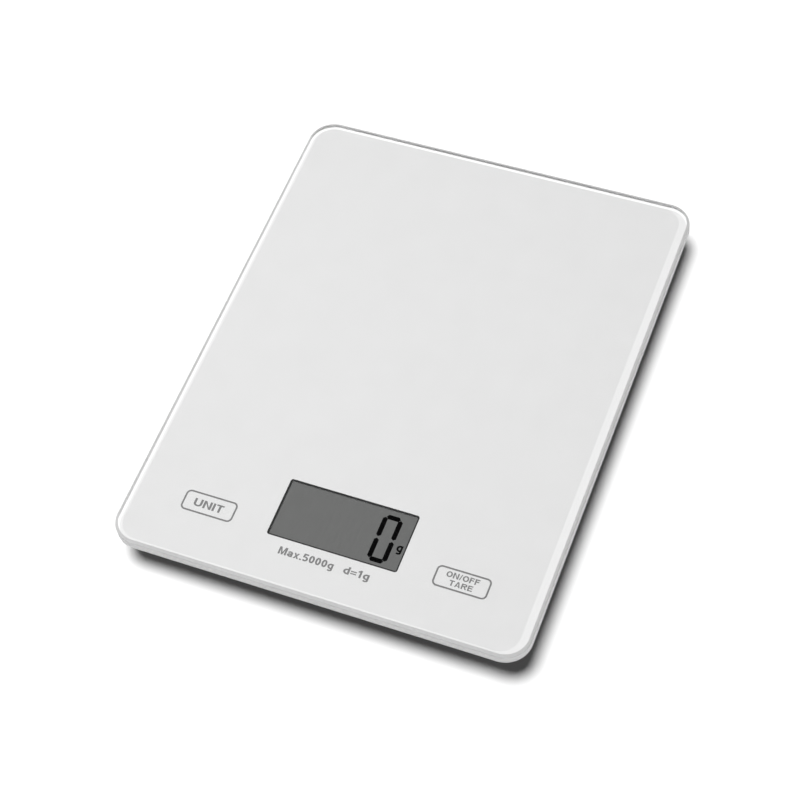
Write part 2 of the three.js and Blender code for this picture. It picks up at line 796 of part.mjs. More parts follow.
put(base, "coin_cell_can", FINISH.steel, coinCan());
put(base, "coin_cell_seal", FINISH.blackWire, coinSeal());
put(base, "coin_cell_cap", FINISH.steel, coinCap());
put(base, "battery_contact_negative", FINISH.steel, negativeContact());
put(base, "battery_contact_positive", FINISH.steel, positiveContact());

// ---------------------------------------------------------------- wiring

const curveThrough = (points) =>
  new THREE.CatmullRomCurve3(points.map((p) => new THREE.Vector3(...p)), false, "centripetal");

const WIRE = 0.5; // radius of a battery wire over its insulation
const CABLE = 0.4; // radius of each gauge wire

// A battery wire: down from its contact, along the floor, and up to the board.
function batteryWire(side) {
  const floor = Z_FLOOR + WIRE + 0.3;
  return along(
    curveThrough([
      [side * 20.3, COIN.y, 7.4],
      [side * 20.3, COIN.y, 6.4],
      [side * 20.8, COIN.y - 1.4, 5],
      [side * 21.4, COIN.y - 4.5, floor + 0.1],
      [side * 21.8, COIN.y - 10, floor],
      [side * 21.8, 20, floor],
      [side * 21, -10, floor],
      [side * 20.2, -40, floor],
      [side * 20, -47, floor],
      [side * 20, -50, floor + 0.4],
      [side * 20, -51, Z_BOARD_UNDER - 0.8],
      [side * 20, -51, Z_BOARD_UNDER - 0.1],
    ]),
    ngon(WIRE, 6),
    44,
  );
}

// The small board on the side of the beam, over its fixed end, where the gauge wires end.
const TERMINAL = { x: CELL.width / 2 + GAP, thick: 0.8, y0: 11, y1: 19, z0: 4.9, z1: 8.5 };

function terminalBoard() {
  const { x, thick, y0, y1, z0, z1 } = TERMINAL;
  const pads = [0, 1, 2, 3].map((i) => {
    const z = z0 + 0.25 + i * 0.85;
    return box([x + thick - 0.1, y1 - 2, z], [x + thick + 0.15, y1 - 0.6, z + 0.55]);
  });
  return shaped(box([x, y0, z0], [x + thick, y1, z1]), pads);
}

// Four thin wires laid together, seen from the end: the outer arcs of four circles that just join.
function fourWires(radius) {
  const shape = new THREE.Shape();
  const join = 1.08; // how much fatter than touching circles these are
  const reach = 0.75 * Math.PI - Math.acos(1 / join);
  for (let i = 0; i < 4; i += 1) {
    const middle = (i + 0.5) * (Math.PI / 2);
    const [x, y] = [Math.cos(middle), Math.sin(middle)].map((c) => c * radius * Math.SQRT2);
    shape.absarc(x, y, radius * join, middle - reach, middle + reach);
  }
  return shape;
}

// The gauge wires run from the terminal board along the beam and the floor, and end under the board.
function gaugeCable() {
  const lay = 2.4 * CABLE;
  return along(
    curveThrough([
      [TERMINAL.x + TERMINAL.thick + lay + 0.1, TERMINAL.y0 + 4.5, 6.6],
      [TERMINAL.x + TERMINAL.thick + lay + 0.1, TERMINAL.y0 - 4, 6.2],
      [8.4, -10, 5.2],
      [9, -25, Z_FLOOR + lay + 0.2],
      [9.5, -40, Z_FLOOR + lay + 0.2],
      [9.5, -47, Z_FLOOR + lay + 0.3],
      [9.5, -51, Z_BOARD_UNDER - lay - 0.1],
      [9.5, -54, Z_BOARD_UNDER - lay - 0.1],
    ]),
    fourWires(CABLE),
    22,
  );
}

put(base, "terminal_board", FINISH.board, terminalBoard());
put(base, "gauge_cable", FINISH.greyCable, gaugeCable());
put(base, "battery_wire_negative", FINISH.blackWire, batteryWire(-1));
put(base, "battery_wire_positive", FINISH.redWire, batteryWire(1));

// ---------------------------------------------------------------- battery door

// A plate with two tongues at its front edge and a sprung catch at its back edge.
function batteryDoor() {
  const [front, back] = [DOOR.front + DOOR.gap, DOOR.front + DOOR.length - DOOR.gap];
  const half = DOOR.width / 2 - DOOR.gap;
  const top = Z_BASE + DOOR.thick;
  const plan = roundedRect(2 * half, back - front, 0.6, 0, (front + back) / 2);
  const tongues = [-9, 9].flatMap((x) => [
    box([x - 2.5, front, top - 0.5], [x + 2.5, front + 1.2, Z_FLOOR + 0.9]),
    box([x - 2.5, front - 1.45, Z_FLOOR + 0.1], [x + 2.5, front + 1.2, Z_FLOOR + 0.9]),
  ]);
  const pads = [-5, 5].map((x) => box([x - 0.5, COIN.y - 6, top - 0.2], [x + 0.5, COIN.y + 6, top + 0.4]));
  const catchLine = [
    [back - 5.2, top - 0.4],
    [back - 5.2, 5.6],
    [back - 4.8, 6.5],
    [back - 4, 6.9],
    [back - 3.1, 6.9],
    [back - 2.3, 6.5],
    [back - 1.9, 5.6],
    [back - 1.9, 2.1],
  ];
  const leaf = acrossX(stripOutline(catchLine, 0.9), -4.6, 4.6);
  const grip = box([-4.6, back - 2.35, Z_BASE], [4.6, back, Z_BASE + 0.9]);
  const nib = acrossX(
    outline([
      [back - 1.6, 3.6],
      [back - 1.6, 4.8],
      [back - 0.9, 3.6],
    ]),
    -4.6,
    4.6,
  );
  return shaped(
    shaped(slab(plan, Z_BASE, top), [], [box([-5.2, back - 3.4, 0], [5.2, back + 1, top + 1])]),
    [...tongues, ...pads, leaf, grip, nib],
  );
}

put(base, "battery_door", FINISH.whitePlastic, batteryDoor());

export default scale;
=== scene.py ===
"""A slim kitchen scale with a glass top, on a pale floor.

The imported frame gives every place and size. This script adds the finer shapes and the finishes.
All sizes are in millimetres up to the point where they enter a mesh, unless a line says metres.
"""

import json
import math

import bmesh
import bpy
import numpy as np
from mathutils import Matrix, Vector

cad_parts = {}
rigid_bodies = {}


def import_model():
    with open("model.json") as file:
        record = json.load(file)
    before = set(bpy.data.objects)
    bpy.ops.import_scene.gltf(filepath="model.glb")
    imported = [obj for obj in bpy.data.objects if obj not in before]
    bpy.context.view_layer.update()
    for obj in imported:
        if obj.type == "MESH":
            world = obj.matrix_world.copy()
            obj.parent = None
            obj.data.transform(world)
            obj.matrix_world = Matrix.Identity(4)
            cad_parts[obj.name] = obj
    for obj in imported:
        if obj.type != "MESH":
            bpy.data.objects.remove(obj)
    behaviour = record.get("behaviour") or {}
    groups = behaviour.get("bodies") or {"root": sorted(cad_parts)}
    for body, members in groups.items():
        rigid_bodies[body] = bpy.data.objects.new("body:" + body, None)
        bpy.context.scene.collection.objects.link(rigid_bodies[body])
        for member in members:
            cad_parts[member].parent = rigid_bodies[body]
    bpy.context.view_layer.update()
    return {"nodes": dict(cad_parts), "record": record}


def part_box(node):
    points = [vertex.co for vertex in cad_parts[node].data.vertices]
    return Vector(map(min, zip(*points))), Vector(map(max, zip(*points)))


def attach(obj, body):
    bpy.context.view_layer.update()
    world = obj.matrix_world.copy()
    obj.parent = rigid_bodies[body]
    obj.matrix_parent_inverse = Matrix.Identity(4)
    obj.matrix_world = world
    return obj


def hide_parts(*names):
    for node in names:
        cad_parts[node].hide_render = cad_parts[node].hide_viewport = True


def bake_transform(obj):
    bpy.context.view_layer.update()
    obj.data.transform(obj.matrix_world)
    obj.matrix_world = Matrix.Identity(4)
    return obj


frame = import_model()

MM = 0.001
NODES = frame["nodes"]


# ------------------------------------------------------------------ shader maths


class Value:
    """A number that varies over a surface. Arithmetic on it adds Math nodes."""

    def __init__(self, finish, socket):
        self.finish = finish
        self.socket = socket

    def math(self, operation, *others):
        """The result of a Math node whose first input is this value."""
        return self.finish.node("ShaderNodeMath", {"operation": operation}, [self, *others])

    def __add__(self, other):
        return self.math("ADD", other)

    def __rsub__(self, other):
        return self.finish.node("ShaderNodeMath", {"operation": "SUBTRACT"}, [other, self])

    def __mul__(self, other):
        return self.math("MULTIPLY", other)

    __radd__ = __add__
    __rmul__ = __mul__

    def above(self, edge):
        """1 where this value is greater than edge, 0 elsewhere."""
        return self.math("GREATER_THAN", edge)

    def ramp(self, low, high):
        """0 below low and 1 above high, straight between."""
        return self.finish.node(
            "ShaderNodeMapRange",
            {"clamp": True},
            {"Value": self, "From Min": low, "From Max": high, "To Min": 0.0, "To Max": 1.0},
        )


class Nodes:
    """A node tree, to which node() adds a node of any type."""

    def __init__(self, tree):
        self.tree = tree

    def plug(self, socket, value):
        """Links a socket to a value that varies, or sets it to one that doesn't."""
        if isinstance(value, Value):
            self.tree.links.new(value.socket, socket)
        else:
            socket.default_value = value

    def node(self, kind, settings=None, values=(), output=0):
        """Adds a node of a type, with its settings and then its sockets' values or links."""
        made = self.tree.nodes.new(kind)
        for label, value in (settings or {}).items():
            setattr(made, label, value)
        pairs = values.items() if isinstance(values, dict) else enumerate(values)
        for label, value in pairs:
            self.plug(made.inputs[label], value)
        return Value(self, made.outputs[output])


class Finish(Nodes):
    """One material, shown by a Principled shader."""

    def __init__(self, name, **uniform):
        self.material = bpy.data.materials.new(name)
        self.material.use_nodes = True
        super().__init__(self.material.node_tree)
        self.tree.nodes.clear()
        self.surface = self.tree.nodes.new("ShaderNodeOutputMaterial").inputs["Surface"]
        self.shader = self.tree.nodes.new("ShaderNodeBsdfPrincipled")
        self.tree.links.new(self.shader.outputs[0], self.surface)
        for label, value in uniform.items():
            self.set(label.replace("_", " "), value)

    def set(self, label, value):
        """Gives one of the shader's sockets a number, a colour or a value that varies."""
        if isinstance(value, tuple):
            value = (*value, 1.0)
        self.plug(self.shader.inputs[label], value)

    def place(self, scale=(1, 1, 1)):
        """Object coordinates in millimetres, stretched by scale."""
        here = self.node("ShaderNodeTexCoord", output="Object")
        size = tuple(s / MM for s in scale)
        return self.node("ShaderNodeMapping", {}, {"Vector": here, "Scale": size})

    def noise(self, size, detail=2.0, rough=0.5, scale=(1, 1, 1)):
        """Noise whose lumps are about size millimetres across, from 0 to 1."""
        values = {
            "Vector": self.place(scale),
            "Scale": 1.0 / size,
            "Detail": detail,
            "Roughness": rough,
        }
        return self.node("ShaderNodeTexNoise", {}, values)

    def cells(self, size):
        """Distance to the nearest of scattered points, about size millimetres apart."""
        values = {"Vector": self.place(), "Scale": 1.0 / size}
        return self.node("ShaderNodeTexVoronoi", {"feature": "F1"}, values)

    def axis(self, index):
        """One object coordinate, in millimetres."""
        return self.node("ShaderNodeSeparateXYZ", {}, [self.place()], output=index)

    def mix(self, amount, first, second):
        """A colour between two, by amount from 0 to 1. Sockets 6, 7 and 2 of a Mix node are colours."""
        values = {0: amount, 6: (*first, 1.0), 7: (*second, 1.0)}
        return self.node("ShaderNodeMix", {"data_type": "RGBA"}, values, output=2)

    def bump(self, height, depth, strength=1.0):
        """Feeds Normal with a height from 0 to 1 that stands depth millimetres proud."""
        values = {"Strength": strength, "Distance": depth * MM, "Height": height}
        self.set("Normal", self.node("ShaderNodeBump", {}, values))

    def clear_where(self, mask):
        """Makes the surface vanish where mask is 1."""
        clear = self.node("ShaderNodeBsdfTransparent")
        solid = Value(self, self.shader.outputs[0])
        self.plug(self.surface, self.node("ShaderNodeMixShader", {}, [mask, solid, clear]))

    def clear_to_shadows(self):
        """Lets light straight through to what lies behind, as thin clear glass does."""
        self.clear_where(self.node("ShaderNodeLightPath", output="Is Shadow Ray"))


# ------------------------------------------------------------------ finishes


def polished_glass():
    """Clear float glass, a little smeared."""
    f = Finish("polished_glass", IOR=1.5, Transmission_Weight=1.0, Base_Color=(0.99, 0.99, 0.99))
    smear = f.noise(28, 3.0, 0.6, (1, 0.45, 1))
    f.set("Roughness", smear.ramp(0.45, 0.8) * 0.03 + 0.004)
    f.clear_to_shadows()
    return f


def ground_glass(name, clear, grey):
    """The ground edge of the glass: a satin skin, part clear, that light enters and spreads in."""
    f = Finish(name, IOR=1.5, Transmission_Weight=clear, Base_Color=(grey,) * 3)
    grit = f.noise(0.12, 3.0, 0.6, (0.3, 0.3, 1))
    f.set("Roughness", grit * 0.15 + 0.4)
    f.bump(grit, 0.01, 0.4)
    f.clear_to_shadows()
    return f


FACE_DARK = (0.665, 0.665, 0.665)
FACE_LIGHT = (0.705, 0.705, 0.705)


def printed_white():
    """Screen-printed off-white ink behind the glass, with a faint mottle."""
    f = Finish("printed_white", Specular_IOR_Level=0.2)
    mottle = f.noise(9, 4.0, 0.6)
    f.set("Base Color", f.mix(mottle, FACE_DARK, FACE_LIGHT))
    f.set("Roughness", f.noise(0.6, 2.0) * 0.2 + 0.5)
    return f


def printed_grey(name, dark, light):
    """Grey printing ink between two tones, slightly uneven as a screen leaves it."""
    f = Finish(name, Specular_IOR_Level=0.2)
    f.set("Base Color", f.mix(f.noise(0.35, 2.0), (dark,) * 3, (light,) * 3))
    f.set("Roughness", f.noise(0.5, 2.0) * 0.15 + 0.5)
    return f


def display_film():
    """The grey polariser over the display, with a faint brushed grain."""
    f = Finish("display_film", Specular_IOR_Level=0.3)
    grain = f.noise(0.5, 3.0, 0.6, (1, 0.12, 1))
    f.set("Base Color", f.mix(grain, (0.122, 0.124, 0.122), (0.155, 0.157, 0.155)))
    f.set("Roughness", grain * 0.2 + 0.35)
    return f


def display_ink():
    """A lit segment of the display: nearly black."""
    f = Finish("display_ink", Specular_IOR_Level=0.0)
    f.set("Base Color", f.mix(f.noise(0.4), (0.0003, 0.0003, 0.0003), (0.0012, 0.0012, 0.0014)))
    f.set("Roughness", f.noise(0.6) * 0.2 + 0.35)
    return f


def moulded_white():
    """White moulded plastic with a fine spark-eroded grain."""
    f = Finish("moulded_white")
    grain = f.noise(0.28, 3.0, 0.65)
    f.set("Base Color", f.mix(f.noise(24), (0.66, 0.66, 0.645), (0.71, 0.71, 0.695)))
    f.set("Roughness", grain * 0.25 + 0.38)
    f.bump(grain, 0.02, 0.6)
    return f


def foot_rubber():
    """Dark grey rubber, dusty and finely pitted."""
    f = Finish("foot_rubber", Specular_IOR_Level=0.35)
    pits = f.noise(0.35, 4.0, 0.7)
    dust = f.noise(3.0, 3.0) * 0.7 + pits * 0.3
    f.set("Base Color", f.mix(dust, (0.035, 0.036, 0.038), (0.085, 0.086, 0.088)))
    f.set("Roughness", pits * 0.2 + 0.68)
    f.bump(pits, 0.03, 0.5)
    return f


def plated(name, tint, rough, stretch=(1, 1, 1), size=0.4):
    """Plated or brushed metal: a bright tint, darker and rougher along its grain."""
    f = Finish(name, Metallic=1.0)
    grain = f.noise(size, 3.0, 0.6, stretch)
    f.set("Base Color", f.mix(grain, tuple(0.72 * c for c in tint), tint))
    f.set("Roughness", grain * 0.22 + rough)
    f.bump(grain, 0.003, 0.2)
    return f


def milled_aluminium():
    """The load cell: bright aluminium with the wavy bands that a mill leaves across it."""
    f = Finish("milled_aluminium", Metallic=1.0)
    waves = {"Vector": f.place(), "Scale": 0.55, "Distortion": 3.0, "Detail": 2.0}
    sweep = f.node("ShaderNodeTexWave", {"bands_direction": "Y"}, waves)
    scratch = f.noise(0.3, 3.0, 0.6, (0.15, 1, 1))
    f.set("Base Color", f.mix(sweep * 0.5 + scratch * 0.5, (0.58, 0.59, 0.60), (0.82, 0.83, 0.84)))
    f.set("Roughness", scratch * 0.2 + 0.24)
    f.bump(sweep, 0.01, 0.3)
    return f


def circuit_green():
    """Green solder mask over fibreglass, paler where copper runs under it in two directions."""
    f = Finish("circuit_green", Coat_Weight=0.3, Coat_Roughness=0.15)
    patch = f.noise(7.0, 1.0)
    lines = [(f.axis(i) * 0.8).math("FRACT").ramp(0.55, 0.62) for i in (0, 1)]
    copper = lines[0] * patch.above(0.52) + lines[1] * (1 - patch.above(0.47))
    f.set("Base Color", f.mix(copper, (0.012, 0.085, 0.030), (0.030, 0.190, 0.062)))
    f.set("Roughness", f.noise(0.5) * 0.15 + 0.3)
    f.bump(copper, 0.03, 0.5)
    return f


def chip_resin():
    """Black moulding resin with a fine matte grain."""
    f = Finish("chip_resin", Specular_IOR_Level=0.4)
    grain = f.noise(0.12, 3.0, 0.6)
    f.set("Base Color", f.mix(grain, (0.012, 0.012, 0.013), (0.030, 0.030, 0.032)))
    f.set("Roughness", grain * 0.2 + 0.45)
    f.bump(grain, 0.01, 0.5)
    return f


def fired_ceramic():
    """Brown fired ceramic, speckled."""
    f = Finish("fired_ceramic")
    speck = f.noise(0.15, 4.0, 0.7)
    f.set("Base Color", f.mix(speck, (0.23, 0.14, 0.075), (0.42, 0.28, 0.16)))
    f.set("Roughness", speck * 0.2 + 0.3)
    return f


def striped_silicone():
    """Silicone rubber in thin upright layers, one carrying current and the next not."""
    f = Finish("striped_silicone")
    layer = (f.axis(0) * 5.0).math("FRACT").ramp(0.42, 0.55)
    f.set("Base Color", f.mix(layer, (0.030, 0.030, 0.032), (0.58, 0.55, 0.50)))
    f.set("Roughness", f.noise(0.3) * 0.15 + 0.6)
    return f


def gauge_film():
    """Amber film over a fine copper-coloured grid that folds to and fro along the beam."""
    f = Finish("gauge_film", Coat_Weight=0.4, Coat_Roughness=0.1)
    grid = (f.axis(0) * 3.6).math("FRACT").ramp(0.45, 0.6)
    f.set("Base Color", f.mix(grid, (0.46, 0.20, 0.045), (0.62, 0.36, 0.14)))
    f.set("Roughness", f.noise(0.4) * 0.15 + 0.25)
    return f


def insulation(name, tint):
    """Extruded plastic insulation, slightly mottled."""
    f = Finish(name)
    mottle = f.noise(0.8, 3.0)
    f.set("Base Color", f.mix(mottle, tuple(0.75 * c for c in tint), tint))
    f.set("Roughness", mottle * 0.2 + 0.35)
    return f


def sticky_sheet():
    """Double-sided foam tape, pale and finely pored."""
    f = Finish("sticky_sheet")
    pores = f.cells(0.35)
    f.set("Base Color", f.mix(pores, (0.60, 0.59, 0.55), (0.74, 0.73, 0.69)))
    f.set("Roughness", pores * 0.3 + 0.6)
    f.bump(pores, 0.03, 0.6)
    return f


def display_pane():
    """Grey-green display glass, faintly streaked by its liquid layer."""
    f = Finish("display_pane", IOR=1.5, Coat_Weight=0.6, Coat_Roughness=0.03)
    streak = f.noise(2.5, 3.0, 0.5, (1, 0.2, 1))
    f.set("Base Color", f.mix(streak, (0.26, 0.29, 0.26), (0.34, 0.37, 0.33)))
    f.set("Roughness", streak * 0.08 + 0.06)
    return f


FLOOR = (0.93, 0.93, 0.93)
GLOW = (300, 1300)


def floor_white():
    """The pale floor. It is clear from underneath, and glows white between the GLOW distances."""
    f = Finish("floor_white", Specular_IOR_Level=0.0)
    f.set("Base Color", FLOOR)
    f.set("Roughness", f.noise(60) * 0.1 + 0.85)
    away = f.node("ShaderNodeVectorMath", {"operation": "LENGTH"}, [f.place()], output="Value")
    f.set("Emission Color", f.mix(away.ramp(*GLOW), (0, 0, 0), FLOOR))
    f.set("Emission Strength", 1.0)
    f.clear_where(f.node("ShaderNodeNewGeometry", output="Backfacing"))
    return f


# ------------------------------------------------------------------ shapes


CORNER_STEPS = 24


def rounded_rect(width, length, radius, centre=(0.0, 0.0), inset=0.0):
    """Points and outward normals round a rounded rectangle moved in by inset.

    Each corner is an arc of radius - inset about a fixed centre, so that point i of one
    outline stands straight inside point i of another.
    """
    turn = np.linspace(0.0, math.pi / 2, CORNER_STEPS + 1)
    angle = np.concatenate([turn + k * math.pi / 2 for k in range(4)])
    outward = np.stack([np.cos(angle), np.sin(angle)], axis=1)
    sign = np.repeat([[1, 1], [-1, 1], [-1, -1], [1, -1]], CORNER_STEPS + 1, axis=0)
    reach = np.array([width / 2 - radius, length / 2 - radius])
    return np.array(centre) + sign * reach + outward * (radius - inset), outward


def mesh_object(name, points, faces, finish, normals=None):
    """A mesh from points in millimetres, faces and, if given, one smooth normal per point."""
    mesh = bpy.data.meshes.new(name)
    mesh.from_pydata((np.asarray(points) * MM).tolist(), [], [list(map(int, f)) for f in faces])
    mesh.update()
    if normals is not None:
        mesh.shade_smooth()
        mesh.normals_split_custom_set_from_vertices(np.asarray(normals).tolist())
    made = bpy.data.objects.new(name, mesh)
    bpy.context.scene.collection.objects.link(made)
    mesh.materials.append(finish.material)
    return made


def wall_faces(rings, around):
    """Quads between successive rings of points, where point i of ring k is number k * around + i."""
    lower = np.arange(rings - 1)[:, None] * around
    here = np.arange(around)
    after = (here + 1) % around
    upper = lower + around
    return np.stack([lower + here, lower + after, upper + after, upper + here], 2).reshape(-1, 4)


def arc(centre, radius, start, end, steps):
    """Points (inset, z) and normals (out, up) along an arc, angles in degrees above outward."""
    angle = np.radians(np.linspace(start, end, steps + 1))
    normal = np.stack([np.cos(angle), np.sin(angle)], axis=1)
    points = np.array(centre) + normal * radius * np.array([-1, 1])
    return points, normal


def swept_plate(name, plan, profile, finish):
    """A profile of (inset, z) carried round a rounded rectangle, with flat ends closed across.

    The profile runs from the under face out, up and back in to the upper face.
    """
    rings = []
    tilts = []
    for (inset, z), (out, up) in zip(*profile):
        points, outward = rounded_rect(*plan, inset=inset)
        rings.append(np.column_stack([points, np.full(len(points), z)]))
        tilts.append(np.column_stack([outward * out, np.full(len(points), up)]))
    around = len(rings[0])
    faces = wall_faces(len(rings), around).tolist()
    faces.append(list(range(around))[::-1])
    top = (len(rings) - 1) * around
    faces.append([top + i for i in range(around)])
    return mesh_object(name, np.concatenate(rings), faces, finish, np.concatenate(tilts))


def framed_sheet(name, outer, inner, low, high, finish):
    """A flat sheet between an outer and an inner outline, with square edges."""
    rings = []
    for plan, z in ((outer, low), (outer, high), (inner, high), (inner, low)):
        points, _ = rounded_rect(*plan)
        rings.append(np.column_stack([points, np.full(len(points), z)]))
    around = len(rings[0])
    faces = wall_faces(4, around).tolist()
    last = 3 * around
    faces += [[last + i, last + (i + 1) % around, (i + 1) % around, i] for i in range(around)]
    return mesh_object(name, np.concatenate(rings), faces, finish)


def prism(name, outlines, low, high, finish):
    """Upright prisms on flat anticlockwise outlines."""
    points = []
    faces = []
    for outline in outlines:
        count = len(outline)
        base = len(points)
        points += [(x, y, low) for x, y in outline] + [(x, y, high) for x, y in outline]
        faces.append([base + count - 1 - i for i in range(count)])
        faces.append([base + count + i for i in range(count)])
        for i in range(count):
            after = (i + 1) % count
            faces.append([base + i, base + after, base + count + after, base + count + i])
    return mesh_object(name, points, faces, finish)


# ------------------------------------------------------------------ lettering
#
# Each letter is a width and a list of flat outlines, drawn on a capital height of 1 with strokes
# STROKE thick. No two outlines of a letter overlap, so that they can stand as separate prisms.

STROKE = 0.19
SMALL = 0.73
LETTER_GAP = 0.1


def bar(left, low, right, high):
    """An upright rectangle."""
    return [(left, low), (right, low), (right, high), (left, high)]


def bend(x, y, across, up, start, end, steps=10):
    """Points along an elliptical arc, angles in degrees anticlockwise from +x."""
    angle = np.radians(np.linspace(start, end, steps + 1))
    return list(zip(x + across * np.cos(angle), y + up * np.sin(angle)))


def ribbon(path):
    """The outline of a stroke along a path, with mitred corners and square ends."""
    path = np.array(path)
    step = np.diff(path, axis=0)
    side = np.stack([-step[:, 1], step[:, 0]], axis=1) / np.linalg.norm(step, axis=1)[:, None]
    before, after = np.vstack([side[:1], side]), np.vstack([side, side[-1:]])
    mitre = (before + after) / (1 + (before * after).sum(axis=1))[:, None]
    reach = mitre * STROKE / 2
    return np.vstack([path - reach, (path + reach)[::-1]]).tolist()


def ring(width, height):
    """A closed loop as two halves, which meet at the top and the bottom."""
    x, y, across, up = width / 2, height / 2, (width - STROKE) / 2, (height - STROKE) / 2
    return [ribbon(bend(x, y, across, up, 90, 270)), ribbon(bend(x, y, across, up, -90, 90))]


def half_bowl(width, low, high):
    """A bowl open to the right, which ends against a stem STROKE wide at the right."""
    across, up = 0.85 * (width - 1.5 * STROKE), (high - low - STROKE) / 2
    curve = bend(STROKE / 2 + across, (low + high) / 2, across, up, 90, 270)
    stem = width - STROKE
    return ribbon([(stem, high - STROKE / 2)] + curve + [(stem, low + STROKE / 2)])


def letter(sign):
    """The width and outlines of one letter, figure or mark."""
    s, h = STROKE, STROKE / 2
    if sign == "U":
        turn = bend(0.36, 0.36, 0.36 - h, 0.36 - h, 180, 360)
        return 0.72, [ribbon([(h, 1)] + turn + [(0.72 - h, 1)])]
    if sign == "N":
        left = [(0, 0), (s, 0), (s, 0.72)]
        right = [(0.72 - s, 0), (0.72, 0), (0.72, 1), (0.72 - s, 1), (0.72 - s, 0.28)]
        return 0.72, [left + right + [(s, 1), (0, 1)]]
    if sign == "I":
        return s, [bar(0, 0, s, 1)]
    if sign == "T":
        return 0.64, [bar(0, 1 - s, 0.64, 1), bar(0.32 - h, 0, 0.32 + h, 1 - s)]
    if sign == "F":
        return 0.6, [bar(0, 0, s, 1), bar(s, 1 - s, 0.6, 1), bar(s, 0.44, 0.54, 0.44 + s)]
    if sign == "E":
        arms = [bar(s, 1 - s, 0.62, 1), bar(s, 0.43, 0.58, 0.43 + s), bar(s, 0, 0.62, s)]
        return 0.62, [bar(0, 0, s, 1)] + arms
    if sign == "R":
        bowl = [(s, 1 - h)] + bend(0.42, 0.73, 0.3 - h, 0.27 - h, 90, -90) + [(s, 0.46 + h)]
        leg = [(0.3, 0.46), (0.54, 0), (0.72, 0), (0.5, 0.46)]
        return 0.72, [bar(0, 0, s, 1), ribbon(bowl), leg]
    if sign == "A":
        legs = [(0, 0), (0.175, 0), (0.36, 0.78), (0.545, 0), (0.72, 0), (0.455, 1), (0.265, 1)]
        slope = (0.36 - 0.175) / 0.78
        inner = [(0.175 + slope * y, 0.545 - slope * y, y) for y in (0.2, 0.34)]
        (left, right, low), (left_up, right_up, high) = inner
        rung = [(left, low), (right, low), (right_up, high), (left_up, high)]
        return 0.72, [legs, rung]
    if sign == "M":
        left = [(0, 0), (s, 0), (s, 0.7), (0.345, 0)]
        right = [(0.85 - x, y) for x, y in left[::-1]]
        return 0.85, [left + right + [(0.85, 1), (0.62, 1), (0.425, 0.33), (0.23, 1), (0, 1)]]
    if sign in "O0":
        width = 0.8 if sign == "O" else 0.56
        return width, ring(width, 1)
    if sign == "/":
        return 0.32, [[(0, 0), (0.13, 0), (0.32, 1), (0.19, 1)]]
    if sign == ".":
        return s, [bar(0, 0, s, s)]
    if sign == "=":
        return 0.56, [bar(0, 0.2, 0.56, 0.2 + 0.8 * s), bar(0, 0.48, 0.56, 0.48 + 0.8 * s)]
    if sign == "1":
        stem = 0.36 - s
        flag = [(stem + 0.05, 1), (0.0, 0.82), (0.0, 0.68), (stem, 0.72)]
        return 0.42, [[(stem, 0), (0.36, 0), (0.36, 1)] + flag]
    if sign == "5":
        bowl = bend(0.26, 0.33, 0.3 - h, 0.33 - h, 100, -150, 16)
        return 0.56, [ribbon([(0.52, 1 - h), (0.13, 1 - h), (0.09, 0.47)]), ribbon(bowl)]
    if sign == "x":
        middle, waist, notch = SMALL / 2, 0.105, 0.12
        lower = [(0, 0), (0.19, 0), (0.28, middle - notch), (0.37, 0), (0.56, 0), (0.28 + waist, middle)]
        upper = [(0.56 - x, SMALL - y) for x, y in lower]
        return 0.56, [lower + upper]
    if sign == "a":
        arch = [(h + 0.02, 0.5)] + bend(0.28, 0.5, 0.27 - h, SMALL - 0.5 - h, 165, 0) + [(0.55 - h, 0)]
        return 0.56, [ribbon(arch), half_bowl(0.55, 0, 0.46)]
    if sign == "d":
        return 0.58, [bar(0.58 - s, 0, 0.58, 1), half_bowl(0.58, 0, SMALL)]
    if sign == "g":
        tail = [(0.58 - h, SMALL)] + bend(0.3, -0.06, 0.28 - h, 0.22 - h, 0, -150)
        return 0.58, [ribbon(tail), half_bowl(0.58, 0.02, SMALL)]
    raise ValueError(f"no shape for {sign}")


def lettering(name, words, centre, width, cap, low, thick, finish):
    """Words fitted to a width and a capital height, as thin prisms that stand on a plane."""
    outlines = []
    pen = 0.0
    for sign in words:
        reach, shapes = letter(sign)
        outlines += [[(pen + x, y) for x, y in shape] for shape in shapes]
        pen += reach + LETTER_GAP
    across = width / (pen - LETTER_GAP)
    left, base = centre[0] - width / 2, centre[1] - cap / 2
    fitted = [[(left + x * across, base + y * cap) for x, y in shape] for shape in outlines]
    return prism(name, fitted, low, low + thick, finish)


# ------------------------------------------------------------------ placing


def settle(piece, body, slot, *nodes):
    """Rides the piece on its body and hides the nodes it stands for. slot is not used."""
    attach(piece, body)
    if nodes:
        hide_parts(*nodes)


SLOT = {part["node"]: part["material_slot"] for part in frame["record"]["subparts"]}
BODY = {node: body for body, nodes in frame["record"]["behaviour"]["bodies"].items() for node in nodes}


def box_mm(node):
    """A node's lowest and highest corners in millimetres."""
    low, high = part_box(node)
    return np.array(low) / MM, np.array(high) / MM


# ------------------------------------------------------------------ camera, floor and light


CAMERA = {  # millimetres and degrees
    "aim": (1.13, -13.89, 16.0),
    "distance": 673.25,
    "azimuth": 29.26,
    "elevation": 57.25,
    "roll": -9.64,
    "lens": 89.85,
}


